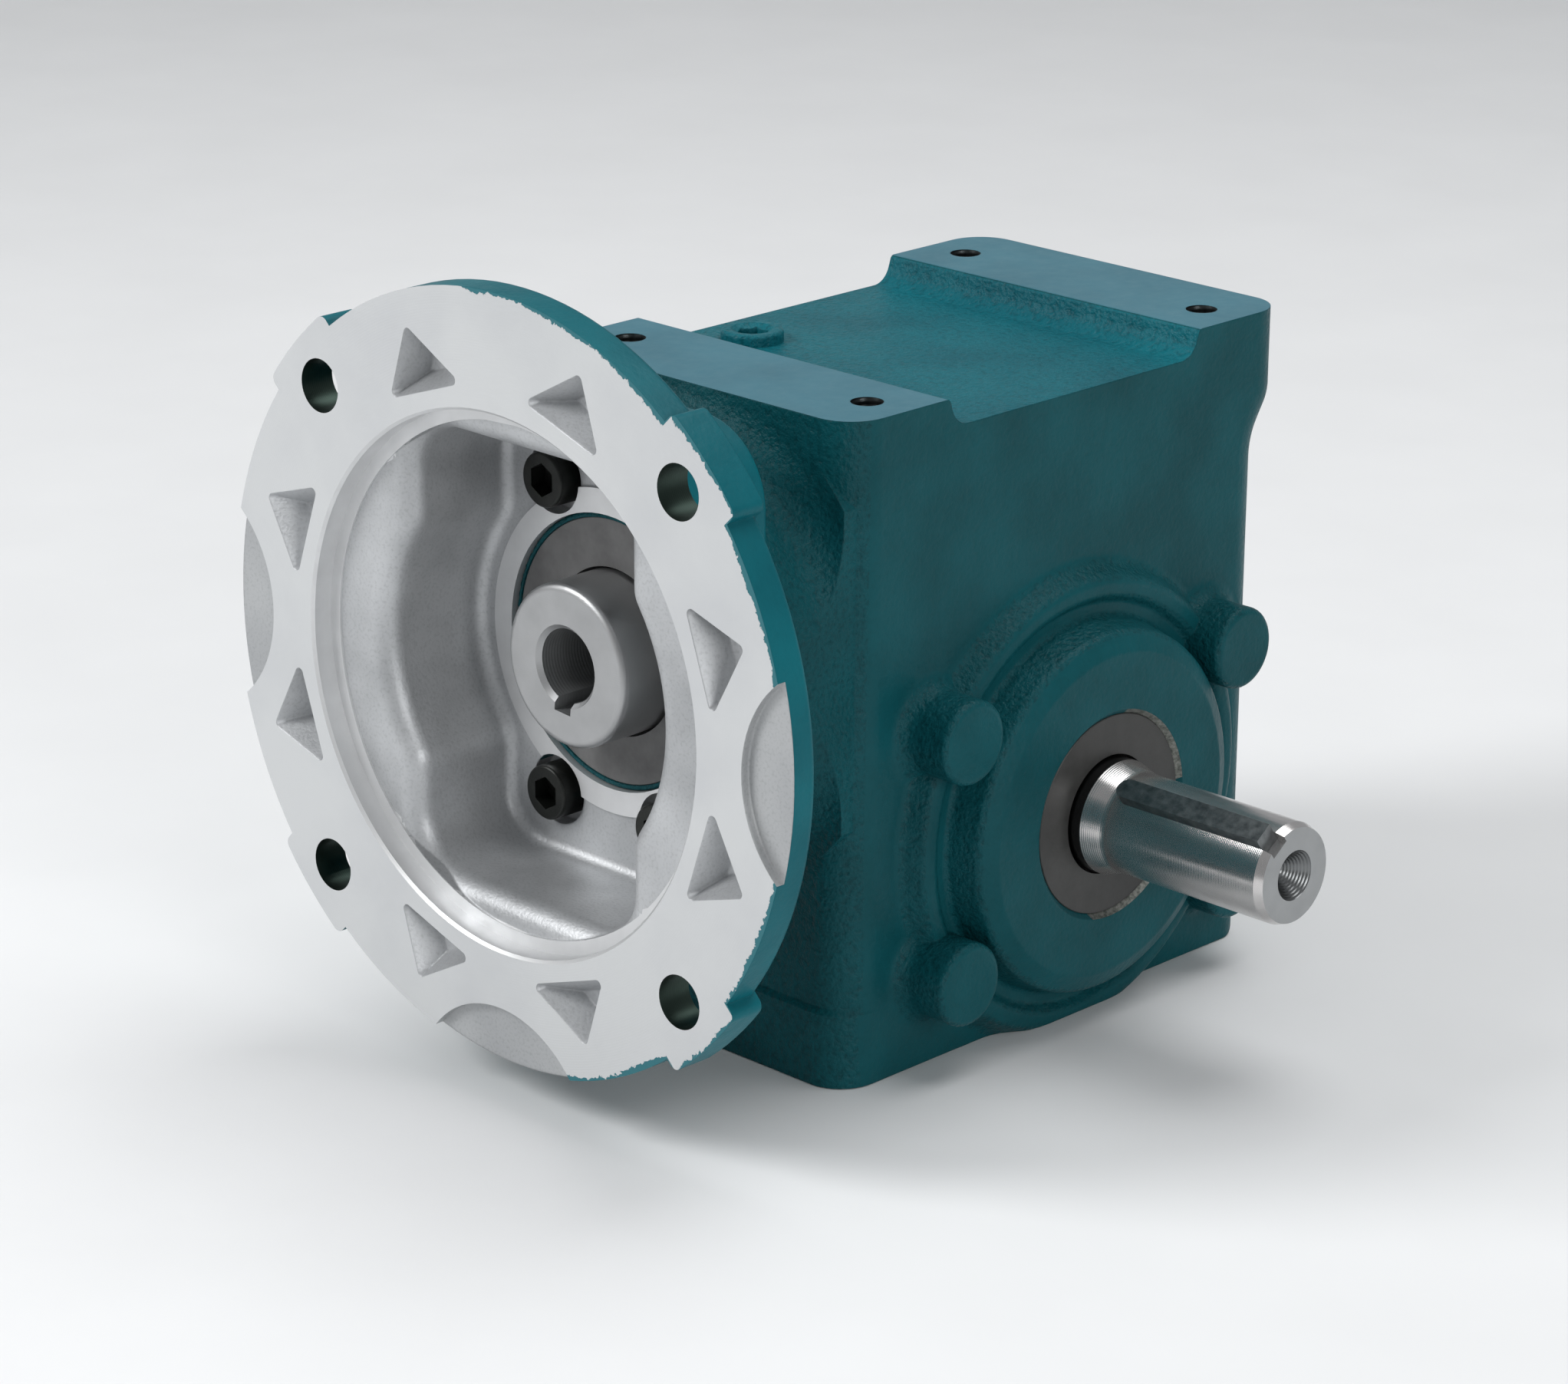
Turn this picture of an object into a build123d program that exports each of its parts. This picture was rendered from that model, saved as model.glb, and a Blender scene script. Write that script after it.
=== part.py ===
from build123d import *
import math
import os

# A right-angle worm gear reducer with a motor flange and one solid output shaft.
# X runs along the output shaft, -Y points at the motor and Z is up.
# The origin is at the middle of the base bolt pattern, on the base face. All sizes are in mm.

# Gear set
centre_distance = 44.45
output_height = 48.0
worm_starts = 2
wheel_teeth = 30
axial_module = 2.23
pressure_angle = 20.0
tooth_backlash = 0.28
tooth_root_share = 1.2
worm_length = 36.0
wheel_width = 20.0
wheel_tip_chamfer = 1.0

# Cast case
case_half_width = 45.6
front_wall = -68.5
rear_wall = 63.5
case_height = 145.5
case_corner = 9.0
case_bottom_round = 8.0
case_wall = 7.6
foot_step = 1.1
foot_height = 17.4
channel_half = 39.5
channel_depth = 6.1
channel_round = 5.0
channel_draft = 2.0
overhang_reach = 5.8
overhang_low = 116.0
overhang_high = 125.0
overhang_round = 12.0
shell_split = 60.0
foundation_spacing_x = 69.85
foundation_spacing_y = 105.6
top_hole_r = 3.45
base_hole_r = 3.9
foundation_hole_depth = 15.0
sump_half_length = 44.0
sump_top = 88.0
upper_half_length = 35.0

# Neck and spigot that carry the motor flange
neck_r = 45.0
neck_flare = 9.0
neck_front = -83.0
neck_side_gap = 1.8
spigot_r = 29.6
spigot_length = 8.3
flange_gasket_thickness = 0.5
rear_boss_r = 35.5
rear_boss_height = 4.0
rear_boss_sink = 0.4

# Motor flange
flange_face = -123.8
flange_r = 82.4
rim_thickness = 8.2
boss_r = 85.5
boss_half_angle = 8.0
register_r = 57.15
register_depth = 5.0
register_chamfer = 0.6
mouth_r = 54.3
bolt_circle_r = 74.6125
bolt_hole_r = 5.75
floor_y = -91.7
floor_round = 3.0
lip_y = -118.3
lip_round = 5.0
pocket_circle_r = 40.2
pocket_half_width = 31.5
pocket_half_height = 48.2
pocket_corner = 11.5
pocket_blend = 8.0
pocket_draft = 0.8
bell_wall = 6.0
bell_draft = 3.5
bell_seat_r = 44.4
bell_seat_proud = 0.3
land_r = 35.0
land_height = 0.8
spigot_clearance = 0.1
lens_cutter_r = 26.6
lens_centre_r = 96.6
lens_depth = 2.0
relief_inner_r = 62.5
relief_outer_r = 75.4
relief_start = 8.3
relief_end = 29.5
relief_apex = 19.9
relief_depth = 6.4
relief_corner = 1.2
relief_draft = 29.0

# Flange screws
flange_screw_circle_r = 38.1
flange_screw_angle = 25.7
screw_r = 3.95
screw_clearance = 0.05
screw_head_r = 5.95
screw_head_height = 7.9
screw_socket = 6.35
screw_head_proud = 3.9
counterbore_r = 7.75
flange_screw_length = 19.0

# Worm shaft
quill_front = -104.9
quill_r = 17.5
quill_bore_r = 7.9375
quill_bore_end = -62.0
quill_key_width = 4.76
quill_key_depth = 2.3
quill_key_angle = 5.0
quill_edge = 1.6
worm_collar_r = 21.0
worm_neck_r = 10.5
rear_seat_r = 12.5
bearing_fit = 0.01

# Worm bearings, both with the same outer size so that one bore takes them
bearing_bore_r = 31.0
front_bearing_front = -78.5
front_bearing_width = 14.0
front_ball_r = 4.0
front_ball_count = 10
rear_bearing_front = 42.0
rear_bearing_width = 17.0
rear_ball_r = 5.6
rear_ball_count = 7
ball_clearance = 0.04
ring_shoulder_share = 0.55
cage_share = 0.35
cage_edge = 1.2
cage_clearance = 0.15
snap_ring_thickness = 2.0
snap_ring_inner_r = 27.5
snap_groove_r = 32.3
end_cap_thickness = 4.6
end_cap_web = 1.6

# Input seal
input_seal_r = 28.5
input_seal_width = 8.0
input_seal_recess = 0.3
seal_lip_clearance = 0.05
seal_face_gap = 0.6
seal_skin = 1.4

# Output shaft
output_end = 108.4
output_r = 11.1125
journal_r = 12.7
journal_end = 60.2
taper_length = 5.0
end_chamfer = 0.7
end_chamfer_length = 2.0
centre_hole_r = 5.5
centre_hole_depth = 6.0
wheel_seat_r = 14.3
collar_r = 18.5
collar_width = 6.0
output_key_width = 4.7625
output_key_angle = 36.0
output_key_start = 66.6
output_key_gap = 2.4
wheel_key_width = 6.35
wheel_key_length = 24.0
hub_length = 30.0
hub_r = 21.0
hub_rim_r = 27.4
hub_web = 9.0

# Output bearings and seal
roller_bearing_r = 25.146
roller_bearing_width = 14.2
roller_count = 14
roller_tilt = 12.0
race_half_angle = 2.0
roller_half_length = 4.3
roller_clearance = 0.04
bearing_outer_face = 50.0
output_seal_r = 22.25
output_seal_width = 7.0
output_seal_recess = 0.8

# Output boss and lugs
boss_face_x = 58.4
boss_face_r = 36.0
boss_step_x = 56.4
boss_step_r = 40.2
ridge_x = 50.6
ridge_r = 50.0
ridge_inner_r = 46.6
valley_x = 48.6
boss_foot_r = 56.0
lug_r = 9.2
lug_y = 43.5
lug_z = 27.0
lug_face_x = 58.2
lug_flare = 4.0
lug_edge = 1.6

# Output cover on the side away from the shaft
cover_seat_x = -50.4
cover_gasket_thickness = 0.4
cover_thickness = 7.6
cover_pilot_r = 38.5
cover_pilot_length = 13.5
cover_r = 46.0
cover_boss_r = 30.0
cover_boss_height = 2.4
cover_screw_length = 20.0
hex_head_height = 5.4
hex_head_flats = 12.7

# Pipe plugs
plug_r = 6.9
plug_length = 9.0
plug_proud = 2.6
plug_socket = 6.35
plug_socket_depth = 5.0
top_plug_x = -31.5
top_plug_y = -19.3
level_plug_y = 40.0
level_plug_z = 96.0
drain_plug_x = -22.0
drain_plug_z = 17.0
plug_bore_depth = 10.0
oilway_r = 3.5
oilway_length = 24.0

# Sizes that follow from those above
worm_height = output_height + centre_distance
wheel_pitch_r = wheel_teeth * axial_module / 2
worm_pitch_r = centre_distance - wheel_pitch_r
axial_pitch = math.pi * axial_module
worm_lead = worm_starts * axial_pitch
worm_tip_r = worm_pitch_r + axial_module
worm_root_r = worm_pitch_r - tooth_root_share * axial_module
wheel_tip_r = wheel_pitch_r + axial_module
wheel_root_r = wheel_pitch_r - tooth_root_share * axial_module
spigot_front = neck_front - spigot_length
seal_front = spigot_front + input_seal_recess
seal_back = seal_front + input_seal_width
front_bearing_back = front_bearing_front + front_bearing_width
rear_bearing_back = rear_bearing_front + rear_bearing_width
rear_boss_face = rear_wall + rear_boss_height
flange_back = neck_front - flange_gasket_thickness
rim_back = flange_face + rim_thickness
output_seal_face = boss_face_x - output_seal_recess
cover_inner_x = cover_seat_x - cover_gasket_thickness
cover_outer_x = cover_inner_x - cover_thickness
bearing_inner_face = bearing_outer_face - roller_bearing_width
screw_head_back = floor_y - screw_head_proud + screw_head_height
lug_places = [(y, z) for y in (-lug_y, lug_y) for z in (-lug_z, lug_z)]

# Local frames whose Z runs along each shaft and whose X points up
worm_frame = Plane(origin=(0, 0, worm_height), x_dir=(0, 0, 1), z_dir=(0, 1, 0)).location
output_frame = Plane(origin=(0, 0, output_height), x_dir=(0, 0, 1), z_dir=(1, 0, 0)).location


def lathe(outline, rounds=None):
    # outline holds (place along the axis, radius); rounds gives corner radii by index
    points = [(radius, 0, along) for along, radius in outline]
    radii = [0.0] * len(points)
    for index, radius in (rounds or {}).items():
        radii[index] = radius
    if any(radii):
        wire = FilletPolyline(*points, radius=radii, close=True)
    else:
        wire = Polyline(*points, close=True)
    return revolve(make_face(wire), Axis.Z)


def disc(start, end, radius, x=0.0, y=0.0):
    return Pos(x, y, (start + end) / 2) * Cylinder(radius, end - start)


def ring(start, end, outer, inner):
    return disc(start, end, outer) - disc(start - 1, end + 1, inner)


def block(x_range, y_range, z_range):
    sizes = [high - low for low, high in (x_range, y_range, z_range)]
    middle = [(high + low) / 2 for low, high in (x_range, y_range, z_range)]
    return Pos(*middle) * Box(*sizes)


def solid_profile(points, radii, plane, depth):
    # a closed outline with its own corner radii, pushed both ways from the plane
    wire = FilletPolyline(*points, radius=radii, close=True)
    return extrude(plane * make_face(wire), depth, both=True)


def around(shape, count, start=0.0):
    return [Rot(0, 0, start + 360 * turn / count) * shape for turn in range(count)]


def hex_prism(start, end, flats):
    return Pos(0, 0, start) * extrude(RegularPolygon(flats / 2, 6, major_radius=False), end - start)


def along_x(start, end, radius, y, z):
    return Pos((start + end) / 2, y, z) * Rot(0, 90, 0) * Cylinder(radius, end - start)


def save(shape, name):
    solids = shape.solids()
    body = solids[0] if len(solids) == 1 else Compound(children=list(solids))
    export_step(body, f"parts/{name}.step")


# Case


def rounded_column(front, rear, top):
    width = 2 * case_half_width
    face = Pos(0, (front + rear) / 2, 0) * RectangleRounded(width, rear - front, case_corner)
    return extrude(face, top)


def case_lower():
    points = [(front_wall, 0), (rear_wall, 0), (rear_wall, shell_split), (front_wall, shell_split)]
    sides = solid_profile(points, [0, case_bottom_round, 0, 0], Plane.YZ, case_half_width)
    return sides & rounded_column(front_wall, rear_wall, shell_split)


def case_upper():
    # the rear wall swells softly outward below the rear pad
    top = case_height
    channel_floor = top - channel_depth
    overhang = rear_wall + overhang_reach
    inner = channel_half - channel_draft
    points = [
        (front_wall, shell_split),
        (rear_wall, shell_split),
        (rear_wall, overhang_low),
        (overhang, overhang_high),
        (overhang, top),
        (channel_half, top),
        (inner, channel_floor),
        (-inner, channel_floor),
        (-channel_half, top),
        (front_wall, top),
    ]
    radii = [0, 0, overhang_round, overhang_round, 0, 1.2, channel_round, channel_round, 1.2, 0]
    body = solid_profile(points, radii, Plane.YZ, case_half_width)
    corners = []
    for edge in body.edges():
        middle = edge @ 0.5
        outer = middle.Y > rear_wall - 0.1 or middle.Y < front_wall + 0.1
        along = abs((edge % 0.5).X) < 0.1
        if outer and along:
            corners.append(edge)
    return fillet(corners, case_corner)


def case_shell():
    foot = rounded_column(front_wall - foot_step, 0, foot_height)
    foot = chamfer(foot.edges().group_by(Axis.Z)[-1], foot_step - 0.1)
    return case_lower() + case_upper() + foot


def case_neck():
    # round neck that flares into the front wall, clipped just inside the case's width
    flare_r = neck_r + neck_flare
    outline = [
        (front_wall + 10, 0),
        (front_wall + 10, flare_r + 2),
        (front_wall, flare_r + 2),
        (front_wall, neck_r),
        (neck_front, neck_r),
        (neck_front, spigot_r),
        (spigot_front, spigot_r),
        (spigot_front, 0),
    ]
    neck = worm_frame * lathe(outline, {3: neck_flare, 4: 1.0, 6: 0.6})
    side = case_half_width - neck_side_gap
    limits = block((-side, side), (-200, 0), (0, case_height))
    return neck & limits


def case_rear_boss():
    # its foot is sunk a little, so that the round at its root meets the wall at an angle
    foot = rear_wall - rear_boss_sink
    outline = [
        (rear_wall - 12, 0),
        (rear_wall - 12, rear_boss_r + 3.4),
        (foot, rear_boss_r + 3.4),
        (foot, rear_boss_r),
        (rear_boss_face, rear_boss_r),
        (rear_boss_face, 0),
    ]
    return worm_frame * lathe(outline, {3: 3.0, 4: 1.2})


def case_output_boss():
    outline = [
        (case_half_width - 8, 0),
        (case_half_width - 8, boss_foot_r),
        (case_half_width, boss_foot_r),
        (case_half_width, ridge_r + 3),
        (ridge_x, ridge_r),
        (ridge_x, ridge_inner_r),
        (valley_x, ridge_inner_r - 1.8),
        (valley_x, boss_step_r + 1.6),
        (boss_step_x, boss_step_r),
        (boss_face_x, boss_face_r),
        (boss_face_x, 0),
    ]
    rounds = {3: 3.0, 4: 2.4, 5: 1.8, 6: 1.0, 7: 1.5, 8: 2.2, 9: 1.4}
    return output_frame * lathe(outline, rounds)


def case_cover_seat():
    outline = [
        (cover_seat_x, 0),
        (cover_seat_x, ridge_r + 0.6),
        (-case_half_width, ridge_r + 3),
        (-case_half_width, boss_foot_r),
        (8 - case_half_width, boss_foot_r),
        (8 - case_half_width, 0),
    ]
    return output_frame * lathe(outline, {1: 0.8, 2: 3.0})


def lug(face, side):
    # cast lug along X with a flared root; side is 1 or -1
    wall = case_half_width
    outline = [
        (wall - 6, 0),
        (wall - 6, lug_r + lug_flare + 0.6),
        (wall, lug_r + lug_flare + 0.6),
        (wall, lug_r),
        (face, lug_r),
        (face, 0),
    ]
    shape = lathe(outline, {3: min(lug_flare, face - wall - 0.3), 4: lug_edge if side > 0 else 0})
    return Rot(0, 90 * side, 0) * shape


def case_outside():
    body = case_shell() + case_neck() + case_rear_boss() + case_output_boss() + case_cover_seat()
    for y, z in lug_places:
        body += Pos(0, y, output_height + z) * lug(lug_face_x, 1)
        body += Pos(0, y, output_height + z) * lug(-cover_seat_x, -1)
    return body & block((-200, 200), (-200, 200), (0, 200))


def case_inside():
    # sump around the wheel, the bore for both worm bearings and the chamber above the worm
    inner_x = bearing_inner_face - 1.3
    sump = block((case_wall - case_half_width, inner_x), (-sump_half_length, sump_half_length),
                 (case_wall, sump_top))
    sump = fillet(sump.edges().filter_by(Axis.X), 8)
    chamber = output_frame * disc(case_wall - case_half_width, inner_x, cover_pilot_r + 0.5)
    upper = block((case_wall - case_half_width, inner_x), (-upper_half_length, upper_half_length),
                  (sump_top - 20, case_height - channel_depth - case_wall))
    upper = fillet(upper.edges().filter_by(Axis.X), 8)
    return sump + chamber + upper


def case_bores():
    bore_end = rear_wall + overhang_reach + 1
    tools = worm_frame * disc(front_bearing_front, bore_end, bearing_bore_r + bearing_fit)
    tools += worm_frame * disc(spigot_front - 1, seal_back, input_seal_r + bearing_fit)
    tools += worm_frame * disc(seal_back - 1, front_bearing_front + 1, input_seal_r - 4)
    groove = disc(rear_bearing_back, rear_bearing_back + snap_ring_thickness + 0.1, snap_groove_r)
    tools += worm_frame * groove
    tools += output_frame * disc(0, bearing_outer_face, roller_bearing_r + bearing_fit)
    seal_bore = output_seal_r + bearing_fit
    outline = [
        (bearing_outer_face - 1, 0),
        (bearing_outer_face - 1, seal_bore),
        (boss_face_x - 1.1, seal_bore),
        (boss_face_x + 0.2, seal_bore + 1.3),
        (boss_face_x + 0.2, 0),
    ]
    tools += output_frame * lathe(outline)
    pilot = disc(cover_seat_x - 1, 0, cover_pilot_r + bearing_fit)
    return tools + output_frame * pilot


def plug_places():
    # each place points out of the case, along the plug's own axis
    floor = case_height - channel_depth
    top = Pos(top_plug_x, top_plug_y, floor)
    level = Pos(-case_half_width, level_plug_y, level_plug_z) * Rot(0, -90, 0)
    drain = Pos(drain_plug_x, rear_wall, drain_plug_z) * Rot(-90, 0, 0)
    return {"fill_plug": top, "level_plug": level, "drain_plug": drain}


def tapped_holes():
    holes = []
    for x in (-foundation_spacing_x / 2, foundation_spacing_x / 2):
        for y in (-foundation_spacing_y / 2, foundation_spacing_y / 2):
            low = disc(-1, foundation_hole_depth, base_hole_r, x, y)
            high = disc(case_height - foundation_hole_depth, case_height + 1, top_hole_r, x, y)
            holes += [low, high]
    return holes


def flange_screw_places():
    # places in the worm frame, whose X is up
    places = []
    for side in (-1, 1):
        for up in (0, 180):
            turn = math.radians(up + side * flange_screw_angle)
            x = flange_screw_circle_r * math.cos(turn)
            y = flange_screw_circle_r * math.sin(turn)
            places.append(Pos(x, y, 0))
    return places


def make_case():
    case = case_outside() - case_inside() - case_bores()
    for hole in tapped_holes():
        case -= hole
    thread_end = screw_head_back + flange_screw_length + 1.0
    for place in flange_screw_places():
        case -= worm_frame * place * disc(neck_front - 1, thread_end, screw_r + screw_clearance)
    for y, z in lug_places:
        deep = cover_outer_x + cover_screw_length + 1.0
        case -= along_x(cover_seat_x - 1, deep, screw_r + screw_clearance, y, output_height + z)
    for place in plug_places().values():
        case -= place * disc(-plug_bore_depth, 1, plug_r)
        case -= place * disc(-oilway_length, 0, oilway_r)
    return case


# Motor flange


def bell_face(grow):
    # a circle joined with a rounded rectangle, the shape of the pocket; grown by a wall for the outside
    face = Circle(pocket_circle_r + grow) + RectangleRounded(
        2 * (pocket_half_height + grow),
        2 * (pocket_half_width + grow),
        pocket_corner + grow,
    )
    reach = pocket_half_width + grow
    along = math.sqrt((pocket_circle_r + grow) ** 2 - reach**2)
    joints = [corner for corner in face.vertices() if abs(abs(corner.X) - along) < 0.01]
    return fillet(joints, pocket_blend)


def flange_relief(turn, side):
    # one three-sided relief in the face, with walls that slope to a small floor
    corners = [
        (relief_inner_r, side * relief_start),
        (relief_outer_r, side * relief_apex),
        (relief_inner_r, side * relief_end),
    ]
    points = []
    for radius, angle in corners:
        bearing = math.radians(turn + angle)
        points.append((radius * math.cos(bearing), radius * math.sin(bearing)))
    if side < 0:
        # both mirror images run counter-clockwise, so that both faces look along +Z
        points.reverse()
    face = make_face(FilletPolyline(*points, radius=relief_corner, close=True))
    return Pos(0, 0, flange_face) * extrude(face, relief_depth, taper=relief_draft)


def flange_inside():
    # the pocket opens with a round lip into the turned mouth
    pocket = Pos(0, 0, floor_y) * extrude(bell_face(0), lip_y - floor_y, taper=-pocket_draft)
    pocket += disc(flange_face, lip_y, register_r + 20)
    level = pocket.edges().filter_by_position(Axis.Z, lip_y - 0.01, lip_y + 0.01)
    lip = level.filter_by(lambda edge: edge.length < register_r * math.pi)
    pocket = fillet(lip, lip_round)
    pocket = fillet(pocket.edges().group_by(Axis.Z)[-1], floor_round)
    pocket = pocket & disc(flange_face + register_depth - 1, floor_y + 1, mouth_r)
    register = lathe(
        [
            (flange_face - 1, 0),
            (flange_face - 1, register_r + register_chamfer + 1),
            (flange_face + register_chamfer, register_r),
            (flange_face + register_depth, register_r),
            (flange_face + register_depth, 0),
        ]
    )
    return pocket + register


def flange_outside():
    rim = disc(flange_face, rim_back, flange_r)
    rim = fillet(rim.edges().group_by(Axis.Z)[-1], 1.5)
    half_width = boss_r * math.sin(math.radians(boss_half_angle))
    boss = disc(flange_face, rim_back, boss_r) & block((0, 200), (-half_width, half_width), (-200, 200))
    boss = fillet(boss.edges().filter_by(Axis.Z), 2.0)
    for piece in around(boss, 4, 45):
        rim += piece
    # the round seat for the neck stands a little proud of the bell's back
    back_y = flange_back - bell_seat_proud
    bell = Pos(0, 0, back_y) * extrude(bell_face(bell_wall), rim_back - back_y - 1, taper=-bell_draft)
    bell = fillet(bell.edges().group_by(Axis.Z)[-1], 1.5)
    return rim + bell + disc(back_y - 1, flange_back, bell_seat_r)


def make_flange():
    flange = flange_outside() - flange_inside()
    flange += disc(floor_y - land_height, floor_y + 1, land_r)
    flange -= disc(flange_face - 1, flange_back + 1, spigot_r + spigot_clearance)
    for place in flange_screw_places():
        flange -= place * disc(lip_y, screw_head_back, counterbore_r)
        flange -= place * disc(lip_y, flange_back + 1, screw_r + 0.3)
    hole = disc(flange_face - 1, rim_back + 1, bolt_hole_r, bolt_circle_r)
    for cut in around(hole, 4, 45):
        flange -= cut
    lens = disc(flange_face - 1, flange_face + lens_depth, lens_cutter_r, lens_centre_r)
    for turn in (90, 180, 270):
        flange -= Rot(0, 0, turn) * lens
    for turn in (0, 90, 180, 270):
        for side in (-1, 1):
            flange -= flange_relief(turn, side)
    return worm_frame * flange


def make_flange_gasket():
    gasket = ring(flange_back, neck_front, bell_seat_r - 0.4, spigot_r + 0.4)
    for place in flange_screw_places():
        gasket -= place * disc(flange_back - 1, neck_front + 1, screw_r + 0.3)
    return worm_frame * gasket


def socket_screw(length):
    # head front at 0, shank along +Z
    head = fillet(disc(0, screw_head_height, screw_head_r).edges().group_by(Axis.Z)[0], 0.6)
    shank = disc(screw_head_height - 0.01, screw_head_height + length, screw_r)
    return head + shank - hex_prism(-1, screw_head_height / 2, screw_socket)


def make_flange_screws():
    screw = Pos(0, 0, screw_head_back - screw_head_height) * socket_screw(flange_screw_length)
    return worm_frame * Compound(children=[place * screw for place in flange_screw_places()])


# Worm shaft and its bearings


def worm_thread():
    half = axial_pitch / 2 - tooth_backlash
    slope = math.tan(math.radians(pressure_angle))
    pitch_half = half / 2
    sunk_r = worm_root_r - 0.4
    root_half = pitch_half + (worm_pitch_r - sunk_r) * slope
    tip_half = pitch_half - (worm_tip_r - worm_pitch_r) * slope
    points = [
        (sunk_r, 0, -root_half),
        (worm_tip_r, 0, -tip_half),
        (worm_tip_r, 0, tip_half),
        (sunk_r, 0, root_half),
    ]
    section = make_face(Polyline(*points, close=True))
    path = Helix(worm_lead, worm_length, worm_pitch_r)
    thread = sweep(section, path=path, is_frenet=True)
    # a thread crest lies over the wheel's middle gap, straight below the axis
    start = 180 - 180 * worm_length / worm_lead
    turned = Rot(0, 0, start) * Pos(0, 0, -worm_length / 2) * thread
    return [Rot(0, 0, 360 * turn / worm_starts) * turned for turn in range(worm_starts)]


def make_worm():
    half = worm_length / 2
    outline = [
        (quill_front, 0),
        (quill_front, quill_r),
        (front_bearing_back, quill_r),
        (front_bearing_back, worm_collar_r),
        (front_bearing_back + 4, worm_collar_r),
        (front_bearing_back + 9, worm_neck_r + 1.5),
        (-half - 8, worm_neck_r),
        (-half - 1, worm_root_r),
        (half + 1, worm_root_r),
        (half + 6, worm_neck_r),
        (rear_bearing_front - 4, worm_neck_r),
        (rear_bearing_front - 3, rear_seat_r + 3.5),
        (rear_bearing_front, rear_seat_r + 3.5),
        (rear_bearing_front, rear_seat_r),
        (rear_bearing_back + 1, rear_seat_r),
        (rear_bearing_back + 1, 0),
    ]
    shaft = lathe(outline, {1: quill_edge, 3: 0.5, 14: 0.8})
    bore = lathe(
        [
            (quill_front - 1, 0),
            (quill_front - 1, quill_bore_r + 2),
            (quill_front + 1, quill_bore_r),
            (quill_bore_end, quill_bore_r),
            (quill_bore_end + 3, 0),
        ]
    )
    keyway = block(
        (-quill_bore_r - quill_key_depth, 0),
        (-quill_key_width / 2, quill_key_width / 2),
        (quill_front - 1, quill_bore_end - 1),
    )
    worm = shaft - bore - Rot(0, 0, quill_key_angle) * keyway
    for thread in worm_thread():
        worm += thread
    return worm_frame * worm


def ball_bearing(bore_r, outer_r, width, ball_r, count):
    pitch_r = (bore_r + outer_r) / 2
    shoulder = ring_shoulder_share * ball_r
    groove = Pos(0, 0, width / 2) * Torus(pitch_r, ball_r + ball_clearance)
    ball = Pos(pitch_r, 0, width / 2) * Sphere(ball_r)
    window = Pos(pitch_r, 0, width / 2) * Rot(0, 90, 0) * Cylinder(ball_r + cage_clearance, 2 * ball_r)
    half = min(ball_r + cage_edge, width / 2)
    cage = ring(width / 2 - half, width / 2 + half, pitch_r + cage_share * ball_r,
                pitch_r - cage_share * ball_r)
    for cut in around(window, count):
        cage -= cut
    return {
        "outer": fillet_rims(ring(0, width, outer_r, pitch_r + shoulder), outer_r) - groove,
        "inner": ring(0, width, pitch_r - shoulder, bore_r + bearing_fit) - groove,
        "balls": Compound(children=around(ball, count)),
        "cage": cage,
    }


def fillet_rims(shape, radius):
    # eases the two outer rims of a bearing ring
    circles = shape.edges().filter_by(GeomType.CIRCLE)
    rims = [edge for edge in circles if abs(edge.radius - radius) < 0.01]
    return fillet(rims, 0.8)


# Wheel, output shaft and its bearings


def wheel_tooth_angle(radius):
    # half the angle that a tooth takes at this radius
    base_r = wheel_pitch_r * math.cos(math.radians(pressure_angle))
    pitch_angle = math.radians(pressure_angle)
    here = math.acos(min(1.0, base_r / radius))
    involute = math.tan(pitch_angle) - pitch_angle - (math.tan(here) - here)
    thickness = axial_pitch / 2
    return thickness / (2 * wheel_pitch_r) + involute


def wheel_outline():
    def polar(radius, angle):
        return (radius * math.cos(angle), radius * math.sin(angle), 0)

    edges = []
    step = 2 * math.pi / wheel_teeth
    root, pitch, tip = [wheel_tooth_angle(r) for r in (wheel_root_r, wheel_pitch_r, wheel_tip_r)]
    for tooth in range(wheel_teeth):
        middle = (tooth + 0.5) * step
        edges.append(
            ThreePointArc(
                polar(wheel_root_r, middle - root),
                polar(wheel_pitch_r, middle - pitch),
                polar(wheel_tip_r, middle - tip),
            )
        )
        edges.append(Line(polar(wheel_tip_r, middle - tip), polar(wheel_tip_r, middle + tip)))
        edges.append(
            ThreePointArc(
                polar(wheel_tip_r, middle + tip),
                polar(wheel_pitch_r, middle + pitch),
                polar(wheel_root_r, middle + root),
            )
        )
        edges.append(Line(polar(wheel_root_r, middle + root), polar(wheel_root_r, middle + step - root)))
    return make_face(edges)


def make_wheel_rim():
    twist = math.degrees(worm_lead / (2 * math.pi * worm_pitch_r) * wheel_width / wheel_pitch_r)
    face = (Rot(0, 0, -twist / 2) * wheel_outline()).face()
    gear = Solid.extrude_linear_with_rotation(face, (0, 0, 0), (0, 0, wheel_width), twist)
    gear = Pos(0, 0, -wheel_width / 2) * gear
    half = wheel_width / 2
    envelope = lathe(
        [
            (-half, hub_rim_r + bearing_fit),
            (-half, wheel_tip_r - wheel_tip_chamfer),
            (wheel_tip_chamfer - half, wheel_tip_r + 0.1),
            (half - wheel_tip_chamfer, wheel_tip_r + 0.1),
            (half, wheel_tip_r - wheel_tip_chamfer),
            (half, hub_rim_r + bearing_fit),
        ]
    )
    return output_frame * (envelope & gear)


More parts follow.
